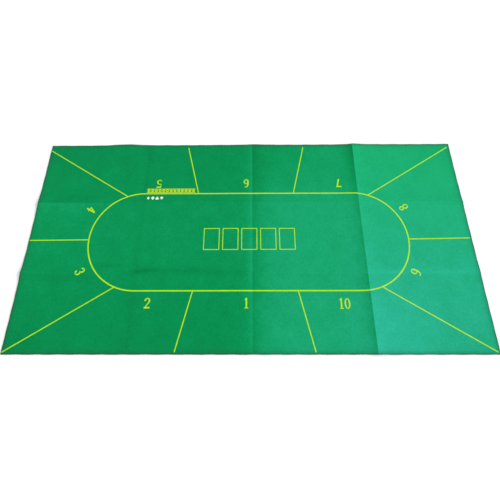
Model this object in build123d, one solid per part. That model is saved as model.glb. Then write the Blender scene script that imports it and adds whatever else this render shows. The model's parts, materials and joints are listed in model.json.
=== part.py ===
"""Card table layout felt: a printed cloth, creased into a grid so that it folds into a flat packet.

Millimetres. Origin at the centre of the underside, +X along the long edge, +Y to the back, +Z up.
The cloth is twelve panels in four columns and three rows. A narrow strip of cloth runs along each
of the three creases between the columns. The layers that it wraps round are thick, so in the folded
packet the strip stands upright along their edge. The front and back rows fold over the middle row
first, then the columns fold over each other.
"""
from build123d import *
import os

# the cloth
SHEET_LENGTH = 1800.0
SHEET_DEPTH = 900.0
FELT = 1.5                    # thickness of the cloth
AIR = 0.3                     # between two layers that lie on each other
LAYER = FELT + AIR            # rise from one folded layer to the next
EDGE_GAP = AIR / 2            # from a hinge line to the cloth on each side of it

# the creases
FRONT_CREASE_Y = -148.0
BACK_CREASE_Y = 158.0
LEFT_CREASE_X = -451.4
CENTRE_CREASE_X = 12.0
RIGHT_CREASE_X = 463.4
ROWS = 3
COLUMN_LAYERS = 2 * ROWS                        # layers in a packet of two folded columns
OUTER_STRIP = (COLUMN_LAYERS - 2) * LAYER       # strip width that spans two folded columns
CENTRE_STRIP = (2 * COLUMN_LAYERS - 2) * LAYER  # strip width that spans all four

# the print
INK = 0.1
LINE = 5.0                    # width of the betting line
DIVIDER_LINE = 4.0            # width of the seat dividers
TRACK_CENTRE = (-5.0, -9.0)
TRACK_LENGTH = 1300.0
TRACK_DEPTH = 420.0
CARD_BOXES = 5
CARD_BOX_PITCH = 77.0
CARD_BOX_Y = -6.5
CARD_BOX_WIDTH = 65.0
CARD_BOX_DEPTH = 94.0
CARD_BOX_LINE = 3.0
CARD_BOX_CORNER = 2.0
DIGIT_HEIGHT = 40.0
DIGIT_WIDTH = 22.0
STEM = 6.0                    # thick strokes of a digit
HAIR = 3.0                    # thin strokes of a digit
PIP = 15.0
PIP_PITCH = 19.0
PIP_ROW = (-403.5, 180.0)
BAND_CENTRE = (-337.0, 215.5)
BAND_LOZENGES = 13
LOZENGE_PITCH = 16.0
LOZENGE_WIDTH = 14.5
LOZENGE_HEIGHT = 19.0

HALF_LENGTH = SHEET_LENGTH / 2
HALF_DEPTH = SHEET_DEPTH / 2
STRAIGHT = TRACK_LENGTH - TRACK_DEPTH
FRONT_LINE_Y = TRACK_CENTRE[1] - TRACK_DEPTH / 2
BACK_LINE_Y = TRACK_CENTRE[1] + TRACK_DEPTH / 2

# each row: its span in Y, and the layer it lies on when the rows are folded over the middle one
row_spans = {
    "front": (-HALF_DEPTH, FRONT_CREASE_Y, 1),
    "middle": (FRONT_CREASE_Y, BACK_CREASE_Y, 0),
    "back": (BACK_CREASE_Y, HALF_DEPTH, 2),
}

creases = {
    "left": (LEFT_CREASE_X, OUTER_STRIP),
    "centre": (CENTRE_CREASE_X, CENTRE_STRIP),
    "right": (RIGHT_CREASE_X, OUTER_STRIP),
}


def crease_sides(name):
    """The two hinge lines of a crease strip."""
    middle, width = creases[name]
    return middle - width / 2, middle + width / 2


left_sides = crease_sides("left")
centre_sides = crease_sides("centre")
right_sides = crease_sides("right")
panel_spans = {
    "far_left": (-HALF_LENGTH, left_sides[0]),
    "left": (left_sides[1], centre_sides[0]),
    "right": (centre_sides[1], right_sides[0]),
    "far_right": (right_sides[1], HALF_LENGTH),
}


def rectangle_between(x0, x1, y0, y1):
    return Pos((x0 + x1) / 2, (y0 + y1) / 2) * Rectangle(x1 - x0, y1 - y0)


def row_edges(row):
    """Front and back edges of a row of cloth, held back from its hinge lines."""
    y0, y1, _ = row_spans[row]
    if row != "front":
        y0 += EDGE_GAP
    if row != "back":
        y1 -= EDGE_GAP
    return y0, y1


def panel_outline(column, row):
    """A panel stops short of each crease by one layer for every layer it lies above the middle row."""
    x0, x1 = panel_spans[column]
    y0, y1 = row_edges(row)
    inset = EDGE_GAP + row_spans[row][2] * LAYER
    if column != "far_left":
        x0 += inset
    if column != "far_right":
        x1 -= inset
    return rectangle_between(x0, x1, y0, y1)


def strip_outline(crease, row):
    """The back strip stands inside the front one when folded, so it is one layer narrower each side."""
    x0, x1 = crease_sides(crease)
    y0, y1 = row_edges(row)
    layers_inside = max(0, row_spans[row][2] - 1)
    inset = EDGE_GAP + layers_inside * LAYER
    return rectangle_between(x0 + inset, x1 - inset, y0, y1)


outlines = {}
for row in row_spans:
    for column in panel_spans:
        outlines[f"{column}_{row}"] = panel_outline(column, row)
    for crease in creases:
        outlines[f"{crease}_crease_{row}"] = strip_outline(crease, row)


def cloth(outline):
    return extrude(outline, amount=FELT)


def ink(sketch, piece):
    """The print that lies on one piece of cloth."""
    return Pos(0, 0, FELT) * extrude(sketch & outlines[piece], amount=INK)


# betting line and seat dividers

def straight_stroke(start, end, width):
    """A straight line of the given width with square ends."""
    path = Line(start, end)
    middle = path @ 0.5
    direction = path % 0.5
    angle = Vector(1, 0, 0).get_signed_angle(direction, Vector(0, 0, 1))
    return Pos(middle.X, middle.Y) * Rot(0, 0, angle) * Rectangle(path.length, width)


def betting_line():
    outer = SlotOverall(TRACK_LENGTH + LINE, TRACK_DEPTH + LINE)
    inner = SlotOverall(TRACK_LENGTH - LINE, TRACK_DEPTH - LINE)
    return Pos(*TRACK_CENTRE) * (outer - inner)


def divider(column, row):
    """The seat divider that crosses a panel, from the betting line out to the cloth's edge."""
    ends = {
        ("far_left", "front"): ((-521.0, -203.0), (-897.0, -442.0)),
        ("far_right", "front"): ((509.0, -203.0), (893.0, -442.0)),
        ("far_left", "back"): ((-519.0, 187.0), (-896.0, 421.0)),
        ("far_right", "back"): ((501.0, 188.0), (890.0, 432.0)),
        ("left", "front"): ((-218.0, FRONT_LINE_Y), (-271.0, -442.0)),
        ("right", "front"): ((188.0, FRONT_LINE_Y), (241.0, -442.0)),
        ("left", "back"): ((-218.0, BACK_LINE_Y), (-276.0, 435.0)),
        ("right", "back"): ((188.0, BACK_LINE_Y), (242.0, 435.0)),
        ("far_left", "middle"): ((-655.0, -9.0), (-896.0, -11.0)),
        ("far_right", "middle"): ((645.0, -9.0), (893.0, -5.0)),
    }
    start, end = ends[(column, row)]
    return straight_stroke(start, end, DIVIDER_LINE)


# card boxes

def card_box(index):
    box = RectangleRounded(CARD_BOX_WIDTH, CARD_BOX_DEPTH, CARD_BOX_CORNER)
    hole = Rectangle(CARD_BOX_WIDTH - 2 * CARD_BOX_LINE, CARD_BOX_DEPTH - 2 * CARD_BOX_LINE)
    x = (index - (CARD_BOXES - 1) / 2) * CARD_BOX_PITCH
    return Pos(x, CARD_BOX_Y) * (box - hole)


# seat numbers, drawn upright about their own centre

def oval(width, height, x=0.0, y=0.0):
    """A ring with thick sides and thin top and bottom."""
    outer = Ellipse(width / 2, height / 2)
    inner = Ellipse(width / 2 - STEM, height / 2 - HAIR)
    return Pos(x, y) * (outer - inner)


def bar(x0, x1, y0, y1):
    return rectangle_between(x0, x1, y0, y1)


TOP = DIGIT_HEIGHT / 2
SIDE = DIGIT_WIDTH / 2


def digit_0():
    return oval(DIGIT_WIDTH, DIGIT_HEIGHT)


def digit_1():
    stem = bar(-STEM / 2, STEM / 2, -TOP, TOP)
    foot = bar(-0.32 * DIGIT_WIDTH, 0.32 * DIGIT_WIDTH, -TOP, -TOP + HAIR)
    flag = make_face(Polyline((0, TOP), (-SIDE * 0.7, TOP - 1.3 * STEM), (0, TOP - 1.3 * STEM), (0, TOP)))
    return stem + foot + flag


def digit_2():
    bowl = oval(DIGIT_WIDTH, 0.55 * DIGIT_HEIGHT, y=0.225 * DIGIT_HEIGHT)
    bowl -= bar(-SIDE, 0, -TOP, 0.2 * DIGIT_HEIGHT)
    bowl -= bar(0, SIDE, -TOP, 0.12 * DIGIT_HEIGHT)
    slope = make_face(Polyline(
        (SIDE, 0.15 * DIGIT_HEIGHT),
        (SIDE - STEM, 0.12 * DIGIT_HEIGHT),
        (-SIDE, -TOP),
        (-SIDE + STEM, -TOP + HAIR),
        (SIDE, 0.15 * DIGIT_HEIGHT),
    ))
    return bowl + slope + bar(-SIDE, SIDE, -TOP, -TOP + STEM)


def digit_3():
    top_bowl = oval(0.9 * DIGIT_WIDTH, 0.52 * DIGIT_HEIGHT, y=0.24 * DIGIT_HEIGHT)
    low_bowl = oval(DIGIT_WIDTH, 0.56 * DIGIT_HEIGHT, y=-0.22 * DIGIT_HEIGHT)
    return top_bowl + low_bowl - bar(-SIDE, -0.1 * SIDE, -0.25 * DIGIT_HEIGHT, 0.27 * DIGIT_HEIGHT)


def digit_4():
    cross_y = -0.22 * DIGIT_HEIGHT
    stem = bar(0, STEM, -TOP, TOP)
    cross = bar(-SIDE, SIDE, cross_y, cross_y + HAIR)
    slope = make_face(Polyline(
        (STEM, TOP), (0, TOP), (-SIDE, cross_y), (-SIDE + 1.5 * HAIR, cross_y), (STEM, TOP),
    ))
    return stem + cross + slope


def digit_5():
    bowl = oval(DIGIT_WIDTH, 0.6 * DIGIT_HEIGHT, y=-0.2 * DIGIT_HEIGHT)
    bowl -= bar(-SIDE, -0.1 * SIDE, -0.32 * DIGIT_HEIGHT, TOP)
    neck = bar(-0.75 * SIDE, -0.75 * SIDE + HAIR, 0.02 * DIGIT_HEIGHT, TOP)
    shoulder = bar(-0.75 * SIDE, 0, 0.02 * DIGIT_HEIGHT, 0.02 * DIGIT_HEIGHT + HAIR)
    return bowl + neck + shoulder + bar(-0.75 * SIDE, SIDE, TOP - STEM, TOP)


def digit_6():
    bowl = oval(DIGIT_WIDTH, 0.6 * DIGIT_HEIGHT, y=-0.2 * DIGIT_HEIGHT)
    back = oval(1.15 * DIGIT_WIDTH, DIGIT_HEIGHT, x=0.15 * SIDE)
    back -= bar(0.55 * SIDE, 1.5 * SIDE, -TOP, TOP)
    back -= bar(-0.2 * SIDE, 1.5 * SIDE, -TOP, 0.3 * DIGIT_HEIGHT)
    return bowl + back


def digit_7():
    head = bar(-SIDE, SIDE, TOP - STEM, TOP)
    slope = make_face(Polyline(
        (SIDE, TOP), (SIDE - 1.2 * STEM, TOP - STEM / 2), (-0.4 * SIDE, -TOP),
        (-0.4 * SIDE + 1.1 * STEM, -TOP), (SIDE, TOP),
    ))
    return head + slope


def digit_8():
    return oval(0.88 * DIGIT_WIDTH, 0.5 * DIGIT_HEIGHT, y=0.25 * DIGIT_HEIGHT) + oval(
        DIGIT_WIDTH, 0.56 * DIGIT_HEIGHT, y=-0.22 * DIGIT_HEIGHT
    )


def digit_9():
    return Rot(0, 0, 180) * digit_6()


def digit_10():
    return Pos(-0.62 * DIGIT_WIDTH, 0) * digit_1() + Pos(0.42 * DIGIT_WIDTH, 0) * digit_0()


digits = {
    1: digit_1, 2: digit_2, 3: digit_3, 4: digit_4, 5: digit_5,
    6: digit_6, 7: digit_7, 8: digit_8, 9: digit_9, 10: digit_10,
}

# each seat number: where it is, how far it is turned to face its seat, and the cloth it is printed on
seats = {
    1: ((-11.0, -266.0), 0, ["left_front"]),
    2: ((-388.0, -266.0), 0, ["left_front"]),
    3: ((-667.0, -142.0), -62, ["far_left_middle", "far_left_front"]),
    4: ((-667.0, 125.0), -120, ["far_left_middle"]),
    5: ((-391.0, 250.0), 180, ["left_back"]),
    6: ((-14.0, 250.0), 180, ["left_back"]),
    7: ((386.0, 250.0), 180, ["right_back"]),
    8: ((647.0, 133.0), 118, ["far_right_middle"]),
    9: ((650.0, -148.0), 62, ["far_right_middle", "far_right_front"]),
    10: ((362.0, -268.0), 0, ["right_front"]),
}


# suit pips, each about its own centre

def disc(radius, x=0.0, y=0.0):
    return Pos(x, y) * Circle(radius)


def pip_foot():
    """The flared stalk of a spade or a club."""
    return make_face(Polyline((0, 0), (-0.2 * PIP, -PIP / 2), (0.2 * PIP, -PIP / 2), (0, 0)))


def heart():
    lobe = 0.27 * PIP
    lobe_x = 0.22 * PIP
    lobe_y = 0.23 * PIP
    point = make_face(Polyline(
        (-0.47 * PIP, 0.13 * PIP), (0, -PIP / 2), (0.47 * PIP, 0.13 * PIP), (-0.47 * PIP, 0.13 * PIP),
    ))
    return disc(lobe, -lobe_x, lobe_y) + disc(lobe, lobe_x, lobe_y) + point


def spade():
    """An upturned heart, small enough for its stalk to show below it."""
    share = 0.84
    return Pos(0, (1 - share) / 2 * PIP) * scale(Rot(0, 0, 180) * heart(), by=share) + pip_foot()


def club():
    leaf = 0.22 * PIP
    leaves = disc(leaf, 0, 0.28 * PIP) + disc(leaf, -0.25 * PIP, -0.08 * PIP)
    return leaves + disc(leaf, 0.25 * PIP, -0.08 * PIP) + disc(0.12 * PIP) + pip_foot()


def lozenge(width, height):
    return make_face(Polyline(
        (0, height / 2), (width / 2, 0), (0, -height / 2), (-width / 2, 0), (0, height / 2),
    ))


def suit_pips():
    """Four pips in a row, turned to be read from the back of the table."""
    pips = Sketch()
    for index, pip in enumerate([spade(), heart(), club(), lozenge(0.72 * PIP, PIP)]):
        pips += Pos((index - 1.5) * PIP_PITCH, 0) * pip
    return Pos(*PIP_ROW) * Rot(0, 0, 180) * pips


def ornament_band():
    """A chain of pointed lozenges on two thin rails, with a small eye in each lozenge."""
    length = BAND_LOZENGES * LOZENGE_PITCH
    rail_y = (LOZENGE_HEIGHT - HAIR) / 2
    band = Pos(0, rail_y) * Rectangle(length, HAIR) + Pos(0, -rail_y) * Rectangle(length, HAIR)
    for index in range(BAND_LOZENGES):
        x = (index - (BAND_LOZENGES - 1) / 2) * LOZENGE_PITCH
        eye = lozenge(0.35 * LOZENGE_WIDTH, 0.35 * LOZENGE_HEIGHT)
        band += Pos(x, 0) * (lozenge(LOZENGE_WIDTH, LOZENGE_HEIGHT - HAIR) - eye)
    return Pos(*BAND_CENTRE) * band


# all the pieces, by node name
pieces = {}

for name, outline in outlines.items():
    pieces[f"felt_{name}"] = cloth(outline)

track = betting_line()
for row in row_spans:
    for column in panel_spans:
        if (column, row) not in [("left", "middle"), ("right", "middle")]:
            lines = track + divider(column, row)
            pieces[f"line_{column}_{row}"] = ink(lines, f"{column}_{row}")
    for crease in creases:
        if row != "middle":
            pieces[f"line_{crease}_crease_{row}"] = ink(track, f"{crease}_crease_{row}")

box_cloths = [
    {"": "left_middle"},
    {"": "left_middle"},
    {"_left": "left_middle", "_fold": "centre_crease_middle", "_right": "right_middle"},
    {"": "right_middle"},
    {"": "right_middle"},
]
for index, cloths in enumerate(box_cloths):
    for suffix, piece in cloths.items():
        pieces[f"card_box_{index + 1}{suffix}"] = ink(card_box(index), piece)

for seat, (place, turn, cloths) in seats.items():
    figure = Pos(*place) * Rot(0, 0, turn) * digits[seat]()
    for index, piece in enumerate(cloths):
        suffix = "" if index == 0 else "_over_fold"
        pieces[f"seat_number_{seat}{suffix}"] = ink(figure, piece)

pieces["suit_pips"] = ink(suit_pips(), "left_back")
pieces["ornament_band"] = ink(ornament_band(), "left_back")

os.makedirs("parts", exist_ok=True)
for name, shape in pieces.items():
    export_step(shape, f"parts/{name}.step")
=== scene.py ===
import json
import math

import bmesh
import bpy
import numpy as np
from mathutils import Matrix, Vector


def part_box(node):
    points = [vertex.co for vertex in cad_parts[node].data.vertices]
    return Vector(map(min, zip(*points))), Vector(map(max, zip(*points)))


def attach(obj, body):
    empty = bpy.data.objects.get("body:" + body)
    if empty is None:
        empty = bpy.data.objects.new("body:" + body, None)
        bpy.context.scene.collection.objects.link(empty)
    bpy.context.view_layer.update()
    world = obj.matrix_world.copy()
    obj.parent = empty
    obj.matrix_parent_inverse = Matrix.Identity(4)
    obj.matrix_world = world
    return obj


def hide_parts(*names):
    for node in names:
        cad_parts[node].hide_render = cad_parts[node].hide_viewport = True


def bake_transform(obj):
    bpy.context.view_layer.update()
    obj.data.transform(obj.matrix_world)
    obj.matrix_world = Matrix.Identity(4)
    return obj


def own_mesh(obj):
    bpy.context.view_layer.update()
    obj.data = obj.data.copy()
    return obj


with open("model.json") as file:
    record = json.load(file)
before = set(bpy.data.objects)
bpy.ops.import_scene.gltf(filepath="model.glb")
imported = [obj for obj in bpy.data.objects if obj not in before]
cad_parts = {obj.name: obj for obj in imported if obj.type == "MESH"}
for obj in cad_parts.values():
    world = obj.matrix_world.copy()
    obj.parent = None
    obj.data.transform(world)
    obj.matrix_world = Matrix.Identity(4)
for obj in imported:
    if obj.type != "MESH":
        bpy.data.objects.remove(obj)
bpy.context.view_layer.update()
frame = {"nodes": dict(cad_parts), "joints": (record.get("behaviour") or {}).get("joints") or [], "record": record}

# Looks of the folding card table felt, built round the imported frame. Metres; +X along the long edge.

MM = 0.001
TOUCHING = 1e-6                     # two places nearer than this are one

# ---------------------------------------------------------------- places taken from the frame

joints = {joint["name"]: joint for joint in frame["joints"]}
body_nodes = frame["record"]["behaviour"]["bodies"]
node_body = {node: body for body, nodes in body_nodes.items() for node in nodes}
slots = {part["node"]: part["material_slot"] for part in frame["record"]["subparts"]}

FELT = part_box("felt_left_middle")[1].z
SHEET_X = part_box("felt_far_right_middle")[1].x
SHEET_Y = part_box("felt_left_back")[1].y
INK_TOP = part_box("card_box_1")[1].z


def crease_edges(fold):
    """The two long edges of a crease strip, from its own hinge and the fold's axis."""
    middle = joints[fold]["pos_m"][0]
    reach = abs(joints[f"{fold}_crease"]["pos_m"][0] - middle)
    return middle - reach, middle + reach


LEFT_X = crease_edges("left_fold")
CENTRE_X = crease_edges("centre_fold")
RIGHT_X = crease_edges("right_fold")
FRONT_Y = joints["front_fold"]["pos_m"][1]
BACK_Y = joints["back_fold"]["pos_m"][1]

columns = {
    "far_left": (-SHEET_X, LEFT_X[0]),
    "left_crease": LEFT_X,
    "left": (LEFT_X[1], CENTRE_X[0]),
    "centre_crease": CENTRE_X,
    "right": (CENTRE_X[1], RIGHT_X[0]),
    "right_crease": RIGHT_X,
    "far_right": (RIGHT_X[1], SHEET_X),
}
rows = {"front": (-SHEET_Y, FRONT_Y), "middle": (FRONT_Y, BACK_Y), "back": (BACK_Y, SHEET_Y)}
left_x, centre_x, right_x = (sum(pair) / 2 for pair in (LEFT_X, CENTRE_X, RIGHT_X))


# ---------------------------------------------------------------- the shape of the cloth

def soft(distance, reach):
    """1 at a line, falling evenly to nothing on both sides of it."""
    return np.exp(-(distance / reach) ** 2)


def fade(distance, reach):
    """1 at a line, falling on both sides of it, with a sharp crest."""
    return np.exp(-np.abs(distance) / reach)


def beside(distance, reach):
    """1 just past a line, falling on that side only. Nothing before it."""
    return np.where(distance > 0, fade(distance, reach), 0)


def smooth_step(value, low, high):
    t = np.clip((value - low) / (high - low), 0, 1)
    return t * t * (3 - 2 * t)


def ridge(distance, height, reach_before, reach_after):
    """A crease that stands up: sharpest at its crest, and dying away at its own rate on each side."""
    return height * fade(distance, np.where(distance < 0, reach_before, reach_after))


def valley(distance, height, core, reach):
    """A crease that stays down between two low shoulders."""
    return height * (1 - fade(distance, core)) * fade(distance, reach)


# single lifts of the cloth: centre, reach along X and Y, and height
LIFTS = (
    ((-0.40, -0.122), (0.070, 0.012), 1.5 * MM),        # the pinch where the left and front creases cross
    ((-0.55, -0.105), (0.070, 0.010), 1.2 * MM),        # the wrinkle that runs on from it
    ((-0.555, SHEET_Y), (0.070, 0.075), 8.0 * MM),      # the back edge, at the left
    ((0.020, SHEET_Y), (0.055, 0.055), 3.6 * MM),       # the back edge, at the centre
)


def rise(x, y):
    """How far the cloth stands up from the table at a point."""
    # the right crease stands up, most of all where it meets the back edge
    crest = 2.6 * MM + 1.2 * MM * smooth_step(-y, 0.15, 0.45) + 5.6 * MM * smooth_step(y, 0.20, 0.45) ** 1.5
    z = ridge(x - right_x, crest, 0.022, 0.060)
    z += valley(x - centre_x, 1.3 * MM, 0.030, 0.100)
    z += valley(x - left_x, 0.5 * MM, 0.020, 0.070)
    # the two long creases, strongest at the left edge
    to_left = np.exp(-(x + SHEET_X) / 0.11)
    to_right = np.exp(-(SHEET_X - x) / 0.09)
    z += ridge(y - FRONT_Y, (1.0 + 6.0 * to_left + 2.2 * to_right) * MM, 0.026, 0.034)
    z += ridge(y - BACK_Y, (1.0 + 5.6 * to_left + 2.0 * to_right) * MM, 0.034, 0.026)
    for (lift_x, lift_y), (reach_x, reach_y), height in LIFTS:
        z += height * soft(x - lift_x, reach_x) * soft(y - lift_y, reach_y)
    # slow waves of a cloth that was folded for a long time
    z += 0.35 * MM * (1 + np.sin(19 * x + 7 * y + 0.6) * np.cos(23 * y - 5 * x + 1.1))
    z += 0.12 * MM * (1 + np.sin(61 * x - 17 * y) * np.sin(53 * y + 29 * x + 2.0))
    return z


def slant_shading(x, y):
    """Painted light and shade: each part between two creases lies at its own slight slant to the light, and is
    painted paler or darker for it.
    """
    across_middle = soft(y, 0.26)
    back = smooth_step(y, 0.10, 0.40)
    front = smooth_step(-y, 0.10, 0.40)
    left_half = -0.19 + 0.14 * across_middle
    right_half = 0.26 + 0.08 * across_middle + 0.08 * front
    right_half -= 0.22 * back * (1 - 0.8 * smooth_step(x, 0.15, 0.42))
    far_right = 0.54 + 0.12 * front * (1 - smooth_step(x, 0.55, 0.75))
    return np.where(x > right_x, far_right, np.where(x > centre_x, right_half, left_half))


def crease_shading(x, y):
    """Painted shade and painted highlight on both sides of the creases, where their flanks turn from the light or
    towards it.
    """
    t = 0.10 * beside(x - right_x, 0.050)
    t -= (0.26 * beside(right_x - x, 0.024) + 0.16 * beside(right_x - x, 0.080) * smooth_step(y, 0.10, 0.40))
    t -= 0.40 * beside(x - centre_x, 0.055)
    t += 0.24 * beside(centre_x - x, 0.016) + 0.10 * beside(centre_x - x, 0.070)
    t -= 0.07 * soft(x - left_x, 0.014)
    t -= 0.05 * beside(x - left_x, 0.050) * (1 - soft(y, 0.26))
    far_left = 1 - smooth_step(x, -0.68, -0.60)
    return t + np.where(y < BACK_Y, 0.18, -0.10) * fade(y - BACK_Y, 0.060) * (0.25 + far_left)


def wrinkle_shading(x, y):
    """Painted shade of the wrinkles near the front crease, and a painted highlight line at its right end."""
    streak = y - FRONT_Y - 0.009 * soft(x + 0.39, 0.050)
    t = -0.30 * soft(streak, 0.010) * soft(x + 0.42, 0.060)
    t -= 0.15 * soft(streak - 0.006, 0.014) * soft(x + 0.24, 0.140)
    t -= 0.10 * soft(streak, 0.010) * soft(x + 0.06, 0.100)
    t -= 0.15 * soft(y + 0.118, 0.008) * soft(x + 0.56, 0.055)
    t -= 0.12 * soft(y + 0.166, 0.024) * soft(x + 0.74, 0.130)
    return t + 0.12 * soft(y + 0.145, 0.014) * smooth_step(x, 0.40, 0.52)


def tone(x, y):
    """Painted light and shade on the cloth, below 0 for darker and above 0 for paler."""
    # also darker towards the sheet's corners
    corner = smooth_step(np.abs(x), 0.62, 0.90) * smooth_step(np.abs(y), 0.26, 0.45)
    return slant_shading(x, y) + crease_shading(x, y) + wrinkle_shading(x, y) - 0.12 * corner


SHEEN_BLUE_ELSEWHERE = 0.30               # blueness of the painted reflection on the parts that change little from back to front


def sheen_blueness(x, y):
    """How blue the painted reflection and highlights are: on the far right part, from 0 at the back to 1 at the
    front.
    """
    to_front = smooth_step(-y, -0.42, 0.40)
    by_part = 0.3 + 0.7 * smooth_step(x, 0.30, 0.48)
    return SHEEN_BLUE_ELSEWHERE + (to_front - SHEEN_BLUE_ELSEWHERE) * by_part


CREASE_HALF = 2.2 * MM
EDGE_REACH = 6.5 * MM
worn_columns = {left_x: 0.1, centre_x: 1.0, right_x: 1.0}
worn_rows = {FRONT_Y: 0.6, BACK_Y: 0.6}


def crease_lines(x, y):
    """1 on a crease, 0 away from it: the pile is pressed flat and a little worn there."""
    near = [strength * soft(x - line, CREASE_HALF) for line, strength in worn_columns.items()]
    near += [strength * soft(y - line, CREASE_HALF) for line, strength in worn_rows.items()]
    return np.max(near, axis=0)


def edge_nearness(x, y):
    """How much painted shade darkens the cut edge: 1 on the edge, falling to 0 a few millimetres inside it."""
    inside = np.minimum(SHEET_X - np.abs(x), SHEET_Y - np.abs(y))
    return np.exp(-np.clip(inside, 0, None) / EDGE_REACH)


def cut_edge(x, y):
    """Moves points on the outer edge a little, as scissors leave it."""
    wander_x = 0.35 * MM * np.sin(90 * y) + 0.18 * MM * np.sin(410 * y + 1.0)
    wander_y = 0.35 * MM * np.sin(80 * x) + 0.18 * MM * np.sin(390 * x + 2.0)
    on_side = np.abs(np.abs(x) - SHEET_X) < TOUCHING
    on_end = np.abs(np.abs(y) - SHEET_Y) < TOUCHING
    return x + np.where(on_side, wander_x, 0), y + np.where(on_end, wander_y, 0)


# ---------------------------------------------------------------- mesh helpers

def spaced(low, high, coarse=6 * MM, fine=1 * MM, reach=8 * MM):
    """Grid lines from low to high, close together near both ends."""
    if high - low <= 3 * reach:
        return np.linspace(low, high, max(3, int(round((high - low) / fine)) + 1))
    near = np.arange(0, reach, fine)
    count = int(math.ceil((high - low - 2 * reach) / coarse))
    return np.concatenate([low + near, np.linspace(low + reach, high - reach, count + 1), high - near[::-1]])


def add_attributes(mesh, x, y):
    fields = {"tone": tone, "cool": sheen_blueness, "crease": crease_lines, "edge": edge_nearness}
    for name, field in fields.items():
        attribute = mesh.attributes.new(name, "FLOAT", "POINT")
        attribute.data.foreach_set("value", field(x, y).astype(np.float32).ravel())


SHARP_ANGLE = math.radians(50)


def finished_object(name, mesh, material):
    mesh.materials.append(material)
    mesh.polygons.foreach_set("use_smooth", [True] * len(mesh.polygons))
    mesh.set_sharp_from_angle(angle=SHARP_ANGLE)
    obj = bpy.data.objects.new(name, mesh)
    bpy.context.scene.collection.objects.link(obj)
    return obj


LIP_OUT = (0.30 * MM, 0.55 * MM, 0.72 * MM)     # how far each grid line of a lip is past the panel's edge
LIP_IN = (0.10 * MM, 0.26 * MM, 0.50 * MM)      # how far the lip is inside the cloth's thickness there


def with_lips(values, at_low, at_high):
    """Grid lines with a rounded lip past one end or both, and how much thinner the cloth is on each line."""
    out, inside = np.array(LIP_OUT), np.array(LIP_IN)
    lines, thinner = [values], [np.zeros(len(values))]
    if at_low:
        lines.insert(0, values[0] - out[::-1])
        thinner.insert(0, inside[::-1])
    if at_high:
        lines.append(values[-1] + out)
        thinner.append(inside)
    return np.concatenate(lines), np.concatenate(thinner)


def panel(name, xs, ys, material):
    """One part of the cloth, with a rounded lip wherever it meets the next part."""
    xs, thin_x = with_lips(xs, xs[0] > -SHEET_X + MM, xs[-1] < SHEET_X - MM)
    ys, thin_y = with_lips(ys, ys[0] > -SHEET_Y + MM, ys[-1] < SHEET_Y - MM)
    thinner = np.maximum(thin_x[:, None], thin_y[None, :]).ravel()
    return slab(name, xs, ys, thinner, FELT - thinner, material)


def slab(name, xs, ys, low, high, material, share=1.0):
    """A sheet over a grid of points. Its underside is `low` and its top `high` above a share of the rise."""
    grid_x, grid_y = np.meshgrid(xs, ys, indexing="ij")
    gx, gy = grid_x.ravel(), grid_y.ravel()
    base = share * rise(gx, gy)
    ex, ey = cut_edge(gx, gy)
    bottom = np.stack([ex, ey, base + low], axis=1)
    top = np.stack([ex, ey, base + high], axis=1)
    count, nx, ny = len(gx), len(xs), len(ys)
    index = np.arange(count).reshape(nx, ny)
    a, b = index[:-1, :-1].ravel(), index[1:, :-1].ravel()
    c, d = index[1:, 1:].ravel(), index[:-1, 1:].ravel()
    faces = np.concatenate([
        np.stack([a, b, c, d], axis=1) + count,
        np.stack([d, c, b, a], axis=1),
    ])
    rim = np.concatenate([index[:-1, 0], index[-1, :-1], index[:0:-1, -1], index[0, :0:-1]])
    after = np.roll(rim, -1)
    sides = np.stack([rim, after, after + count, rim + count], axis=1)
    mesh = bpy.data.meshes.new(name)
    mesh.from_pydata(np.concatenate([bottom, top]).tolist(), [], np.concatenate([faces, sides]).tolist())
    mesh.update()
    add_attributes(mesh, np.tile(gx, 2), np.tile(gy, 2))
    return finished_object(name, mesh, material)


# ---------------------------------------------------------------- materials

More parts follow.
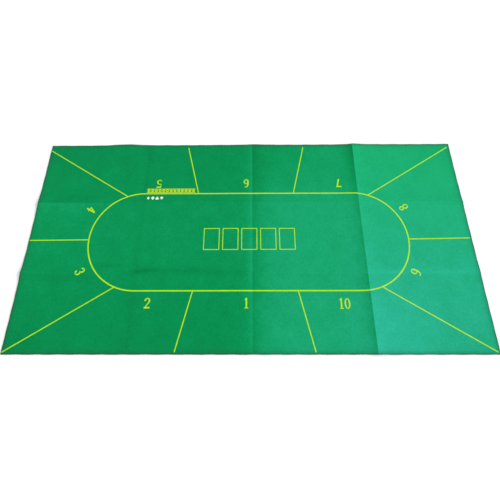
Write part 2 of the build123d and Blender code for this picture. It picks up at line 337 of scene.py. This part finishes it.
class Nodes:
    """A short way to build a material's node tree."""

    def __init__(self, name):
        self.material = bpy.data.materials.new(name)
        self.material.use_nodes = True
        self.tree = self.material.node_tree
        self.shader = self.tree.nodes["Principled BSDF"]

    def link(self, source, target):
        if isinstance(source, (int, float, tuple)):
            target.default_value = source
        else:
            self.tree.links.new(source, target)

    def value(self, operation, a, b):
        node = self.tree.nodes.new("ShaderNodeMath")
        node.operation = operation
        self.link(a, node.inputs[0])
        self.link(b, node.inputs[1])
        return node.outputs[0]

    def mix(self, factor, a, b):
        node = self.tree.nodes.new("ShaderNodeMix")
        node.data_type = "RGBA"
        self.link(factor, node.inputs[0])
        self.link(a, node.inputs[6])
        self.link(b, node.inputs[7])
        return node.outputs[2]

    def place(self, scale=(1, 1, 1), turn=0.0):
        """Object coordinates in metres, turned about Z and then scaled."""
        if not hasattr(self, "coordinates"):
            self.coordinates = self.tree.nodes.new("ShaderNodeTexCoord").outputs["Object"]
        turned = self.tree.nodes.new("ShaderNodeVectorRotate")
        turned.rotation_type = "Z_AXIS"
        turned.inputs["Angle"].default_value = turn
        self.link(self.coordinates, turned.inputs["Vector"])
        scaled = self.tree.nodes.new("ShaderNodeVectorMath")
        scaled.operation = "MULTIPLY"
        self.link(turned.outputs[0], scaled.inputs[0])
        scaled.inputs[1].default_value = scale
        return scaled.outputs[0]

    def noise(self, vector, scale, detail, roughness):
        node = self.tree.nodes.new("ShaderNodeTexNoise")
        self.link(vector, node.inputs["Vector"])
        node.inputs["Scale"].default_value = scale
        node.inputs["Detail"].default_value = detail
        node.inputs["Roughness"].default_value = roughness
        return node.outputs["Fac"]

    def attribute(self, name):
        node = self.tree.nodes.new("ShaderNodeAttribute")
        node.attribute_name = name
        return node.outputs["Fac"]

    def spread(self, source, low, high, to_low=0.0, to_high=1.0):
        node = self.tree.nodes.new("ShaderNodeMapRange")
        self.link(source, node.inputs["Value"])
        node.inputs["From Min"].default_value = low
        node.inputs["From Max"].default_value = high
        node.inputs["To Min"].default_value = to_low
        node.inputs["To Max"].default_value = to_high
        return node.outputs[0]

    def bump(self, height, distance, strength, normal=None):
        node = self.tree.nodes.new("ShaderNodeBump")
        node.inputs["Strength"].default_value = strength
        node.inputs["Distance"].default_value = distance
        self.link(height, node.inputs["Height"])
        if normal is not None:
            self.link(normal, node.inputs["Normal"])
        return node.outputs[0]


FIBRE_TURNS = (0.2, 1.25, 2.3)      # the directions that the fibres lie in, in radians
FIBRE_STRETCH = (1.0, 9.0, 1.0)     # how much longer than wide they are
# how fine each pattern is, per metre
FIBRE_SCALE = 190.0
CLOUD_SCALE = 14.0
MOTTLE_SCALE = 120.0
FLUFF_SCALE = 420.0
INK_GRAIN_SCALE = 700.0
INK_TINT_SCALE = 90.0

# how deep the felt's fluff and fibres are, and the ink's grain
FLUFF_DEPTH = 0.25 * MM
FIBRE_DEPTH = 0.22 * MM
INK_DEPTH = 0.15 * MM


def fibres(nodes):
    """Crossing streaks: needled fibres that lie in three directions. Brightest where a fibre is on top."""
    tops = []
    for turn in FIBRE_TURNS:
        streaks = nodes.noise(nodes.place(FIBRE_STRETCH, turn), FIBRE_SCALE, 2.0, 0.55)
        tops.append(nodes.spread(streaks, 0.42, 0.68))
    return nodes.value("MAXIMUM", nodes.value("MAXIMUM", tops[0], tops[1]), tops[2])


# the cut edge's painted shade, the darker green of mottling and painted shade, the felt's own green, and the paler
# greens of painted light, bluer at the front as a painted reflection
EDGE_SHADE_GREEN = (0.0100, 0.075, 0.038, 1)
DEEP_GREEN = (0.0008, 0.150, 0.040, 1)
FELT_GREEN = (0.0014, 0.265, 0.080, 1)
LIT_BACK_GREEN = (0.0140, 0.460, 0.195, 1)
LIT_FRONT_GREEN = (0.0290, 0.480, 0.335, 1)


def felt_colour(nodes, strands):
    """Green with clouds, fine mottling and paler fibres, with painted light and shade, a painted blue reflection
    and painted shade along the cut edge.
    """
    plain = nodes.place()
    clouds = nodes.noise(plain, CLOUD_SCALE, 3.0, 0.6)
    mottle = nodes.noise(plain, MOTTLE_SCALE, 3.0, 0.65)
    shade = nodes.spread(clouds, 0.3, 0.7, -0.07, 0.07)
    shade = nodes.value("ADD", shade, nodes.spread(mottle, 0.3, 0.7, -0.10, 0.10))
    shade = nodes.value("ADD", shade, nodes.spread(strands, 0.0, 1.0, -0.10, 0.10))
    # painted light and shade
    shade = nodes.value("ADD", shade, nodes.attribute("tone"))
    worn = nodes.value("MULTIPLY", nodes.attribute("crease"), 0.10)
    shade = nodes.value("ADD", shade, worn)
    darker = nodes.mix(nodes.spread(shade, -0.6, 0.0), DEEP_GREEN, FELT_GREEN)
    # the paler greens of painted highlight, bluer towards the front as a painted reflection
    lit_colour = nodes.mix(nodes.attribute("cool"), LIT_BACK_GREEN, LIT_FRONT_GREEN)
    face = nodes.mix(nodes.spread(shade, 0.0, 1.0), darker, lit_colour)
    # painted shade along the cut edge
    return nodes.mix(nodes.value("MULTIPLY", nodes.attribute("edge"), 0.85), face, EDGE_SHADE_GREEN)


def felt_material():
    nodes = Nodes("green_felt")
    strands = fibres(nodes)
    nodes.link(felt_colour(nodes, strands), nodes.shader.inputs["Base Color"])
    nodes.link(nodes.spread(strands, 0, 1, 0.98, 0.86), nodes.shader.inputs["Roughness"])
    nodes.shader.inputs["Specular IOR Level"].default_value = 0.04
    nodes.shader.inputs["Sheen Weight"].default_value = 0.08
    nodes.shader.inputs["Sheen Roughness"].default_value = 0.55
    nodes.shader.inputs["Sheen Tint"].default_value = (0.08, 1.0, 0.50, 1)
    fluff = nodes.noise(nodes.place(), FLUFF_SCALE, 3.0, 0.6)
    rough = nodes.bump(fluff, FLUFF_DEPTH, 0.6)
    nodes.link(nodes.bump(strands, FIBRE_DEPTH, 0.7, rough), nodes.shader.inputs["Normal"])
    return nodes.material


def ink_material(name, colour, cover):
    """Screen-printed ink that the felt's fibres break up. `cover` is how much of the felt it hides."""
    nodes = Nodes(name)
    strands = fibres(nodes)
    grain = nodes.noise(nodes.place(), INK_GRAIN_SCALE, 2.0, 0.6)
    gaps = nodes.value("ADD", nodes.value("MULTIPLY", grain, 0.6), nodes.value("MULTIPLY", strands, 0.4))
    covered = nodes.spread(gaps, 1.0 - cover - 0.08, 1.0 - cover + 0.08)
    tint = nodes.spread(nodes.noise(nodes.place(), INK_TINT_SCALE, 3.0, 0.6), 0.3, 0.7)
    thin = tuple(0.82 * channel for channel in colour[:3]) + (1,)
    inked = nodes.mix(tint, thin, colour)
    nodes.link(nodes.mix(covered, FELT_GREEN, inked), nodes.shader.inputs["Base Color"])
    nodes.shader.inputs["Roughness"].default_value = 0.62
    nodes.shader.inputs["Specular IOR Level"].default_value = 0.06
    nodes.link(nodes.bump(gaps, INK_DEPTH, 0.8), nodes.shader.inputs["Normal"])
    return nodes.material


felt = felt_material()
inks = {
    "yellow_print": ink_material("yellow_print", (0.43, 0.80, 0.002, 1), 0.86),
    "bright_yellow_print": ink_material("bright_yellow_print", (0.57, 0.80, 0.002, 1), 0.92),
    "white_print": ink_material("white_print", (0.90, 0.93, 0.88, 1), 0.90),
}


# ---------------------------------------------------------------- the cloth's pieces


def settle(piece, body):
    """The piece moves with its body."""
    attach(piece, body)
    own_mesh(piece)


for row, (y0, y1) in rows.items():
    for column, (x0, x1) in columns.items():
        body = f"{column}_{row}"
        xs, ys = spaced(x0, x1), spaced(y0, y1)
        highest = rise(*np.meshgrid(xs, ys)).max()
        sheet = panel(f"cloth_{body}", xs, ys, felt)
        settle(sheet, body)
        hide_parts(f"felt_{body}")

# the round of each fold: a strip that lies inside the cloth at rest

CORE_HALF = 1.7 * MM
CORE_LOW = 0.08 * MM
CORE_HIGH = FELT - 0.25 * MM
CORE_STEPS = 13
CORE_GAP = 0.3 * MM                 # between a core's ends and the edges of its column or row
CORE_RISE = 0.45                    # a core follows the cloth's rise by this share


def fold_core(name, across, low, high, line):
    """A narrow strip of cloth along a hinge line."""
    along = spaced(low + CORE_GAP, high - CORE_GAP, coarse=20 * MM, fine=10 * MM, reach=20 * MM)
    over = np.linspace(line - CORE_HALF, line + CORE_HALF, CORE_STEPS)
    xs, ys = (over, along) if across == "x" else (along, over)
    core = slab(name, xs, ys, CORE_LOW, CORE_HIGH, felt, CORE_RISE)
    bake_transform(core)


for column, (x0, x1) in columns.items():
    fold_core(f"front_fold_core_{column}", "y", x0, x1, FRONT_Y)
    fold_core(f"back_fold_core_{column}", "y", x0, x1, BACK_Y)

y0, y1 = rows["middle"]
column_folds = (
    ("left_fold_core", LEFT_X[1], "left_middle", "left_crease_middle", -1),
    ("centre_fold_core", CENTRE_X[0], "left_middle", "centre_crease_middle", 1),
    ("right_fold_core", RIGHT_X[0], "right_middle", "right_crease_middle", 1),
)
for name, line, before, after, direction in column_folds:
    fold_core(name, "x", y0, y1, line)


# ---------------------------------------------------------------- the print

INK_STEP = 6 * MM
INK_SINK = 0.25 * MM
INK_PROUD = 0.12 * MM
SNAP = 0.05 * MM


def snapped(values, cad_low, cad_high, low, high):
    """Print that stops at a panel's edge in the frame reaches the crease line in the cloth."""
    values = np.where(np.abs(values - cad_low) < SNAP, low, values)
    return np.where(np.abs(values - cad_high) < SNAP, high, values)


def cut_along(mesh, axis, low, high):
    """Cuts a mesh by a series of planes, so that it can follow the cloth."""
    normal = Vector((axis == 0, axis == 1, 0))
    for position in np.arange(low + INK_STEP, high, INK_STEP):
        point = normal * float(position)
        geometry = mesh.verts[:] + mesh.edges[:] + mesh.faces[:]
        bmesh.ops.bisect_plane(mesh, geom=geometry, dist=TOUCHING / 10, plane_co=point, plane_no=normal)


def cut_print(node):
    """A mesh of one CAD node's print, cut finely enough to follow the cloth."""
    work = bmesh.new()
    work.from_mesh(frame["nodes"][node].data)
    bmesh.ops.remove_doubles(work, verts=work.verts, dist=TOUCHING)
    low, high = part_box(node)
    cut_along(work, 0, low.x, high.x)
    cut_along(work, 1, low.y, high.y)
    mesh = bpy.data.meshes.new(f"print_{node}")
    work.to_mesh(mesh)
    work.free()
    # the frame's mesh has its own normals, which no longer fit after the cuts
    if "custom_normal" in mesh.attributes:
        mesh.attributes.remove(mesh.attributes["custom_normal"])
    return mesh


def printed(node):
    """The print of one CAD node, laid on the cloth."""
    body = node_body[node]
    mesh = cut_print(node)
    places = np.zeros(len(mesh.vertices) * 3)
    mesh.vertices.foreach_get("co", places)
    places = places.reshape(-1, 3)
    cad_low, cad_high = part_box(f"felt_{body}")
    column, row = next((c, r) for c in columns for r in rows if f"{c}_{r}" == body)
    x = snapped(places[:, 0], cad_low.x, cad_high.x, *columns[column])
    y = snapped(places[:, 1], cad_low.y, cad_high.y, *rows[row])
    upper = places[:, 2] > (FELT + INK_TOP) / 2
    z = rise(x, y) + FELT + np.where(upper, INK_PROUD, -INK_SINK)
    mesh.vertices.foreach_set("co", np.stack([x, y, z], axis=1).ravel())
    mesh.update()
    add_attributes(mesh, x, y)
    piece = finished_object(f"print_{node}", mesh, inks[slots[node]])
    settle(piece, body)
    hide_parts(node)


for node in sorted(slots):
    if not node.startswith("felt_"):
        printed(node)


# ---------------------------------------------------------------- floor, light and camera

FLOOR_REACH = 30
FLOOR_DROP = 0.5 * MM
SKY_STRENGTH = 0.85
BACKDROP_STRENGTH = 1.6             # what the camera sees past the floor is as white as the floor
KEY_FROM = (2.1, 0.3, 1.0)          # a broad, low light from the right, so that the creases show
KEY_STRENGTH = 2.2
KEY_ANGLE = math.radians(25)
# The camera's pose over the sheet: yaw, pitch below the horizon and roll, in radians, and its place.
YAW, PITCH, ROLL = 0.0222, 1.1616, -0.0234
CAMERA_PLACE = (16.3 * MM, -537.2 * MM, 1418.9 * MM)
SENSOR = 36                         # millimetres
LENS_SHARE = 0.7432                 # focal length over the frame's width
RISE_SHARE = -0.0601                # how far the frame's centre is from the lens's axis


def floor():
    material = bpy.data.materials.new("white_floor")
    material.use_nodes = True
    shader = material.node_tree.nodes["Principled BSDF"]
    shader.inputs["Base Color"].default_value = (0.93, 0.93, 0.93, 1)
    shader.inputs["Roughness"].default_value = 0.9
    mesh = bpy.data.meshes.new("floor")
    corners = [(-1, -1), (1, -1), (1, 1), (-1, 1)]
    mesh.from_pydata([(x * FLOOR_REACH, y * FLOOR_REACH, 0) for x, y in corners], [], [(0, 1, 2, 3)])
    mesh.materials.append(material)
    obj = bpy.data.objects.new("floor", mesh)
    obj.location.z = -FLOOR_DROP
    bpy.context.scene.collection.objects.link(obj)


def sky():
    """An even white light from all round, and a white backdrop for the camera alone."""
    world = bpy.data.worlds.new("studio")
    world.use_nodes = True
    tree = world.node_tree
    light, backdrop = tree.nodes["Background"], tree.nodes.new("ShaderNodeBackground")
    for node, strength in ((light, SKY_STRENGTH), (backdrop, BACKDROP_STRENGTH)):
        node.inputs["Color"].default_value = (1, 1, 1, 1)
        node.inputs["Strength"].default_value = strength
    path, either = tree.nodes.new("ShaderNodeLightPath"), tree.nodes.new("ShaderNodeMixShader")
    tree.links.new(path.outputs["Is Camera Ray"], either.inputs[0])
    tree.links.new(light.outputs[0], either.inputs[1])
    tree.links.new(backdrop.outputs[0], either.inputs[2])
    tree.links.new(either.outputs[0], tree.nodes["World Output"].inputs["Surface"])
    bpy.context.scene.world = world


def key_light():
    data = bpy.data.lights.new("key_right", "SUN")
    data.energy = KEY_STRENGTH
    data.angle = KEY_ANGLE
    light = bpy.data.objects.new("key_right", data)
    light.rotation_euler = Vector(KEY_FROM).to_track_quat("Z", "Y").to_euler()
    bpy.context.scene.collection.objects.link(light)


def camera():
    data = bpy.data.cameras.new("camera")
    data.sensor_width = SENSOR
    data.lens = LENS_SHARE * SENSOR
    data.shift_y = RISE_SHARE
    data.clip_start, data.clip_end = 0.01, 100
    obj = bpy.data.objects.new("camera", data)
    turn = Matrix.Rotation(YAW, 4, "Z") @ Matrix.Rotation(math.pi / 2 - PITCH, 4, "X")
    obj.matrix_world = Matrix.Translation(CAMERA_PLACE) @ turn @ Matrix.Rotation(ROLL, 4, "Z")
    bpy.context.scene.collection.objects.link(obj)
    bpy.context.scene.camera = obj


floor()
sky()
key_light()
camera()
bpy.context.scene.view_settings.view_transform = "Standard"
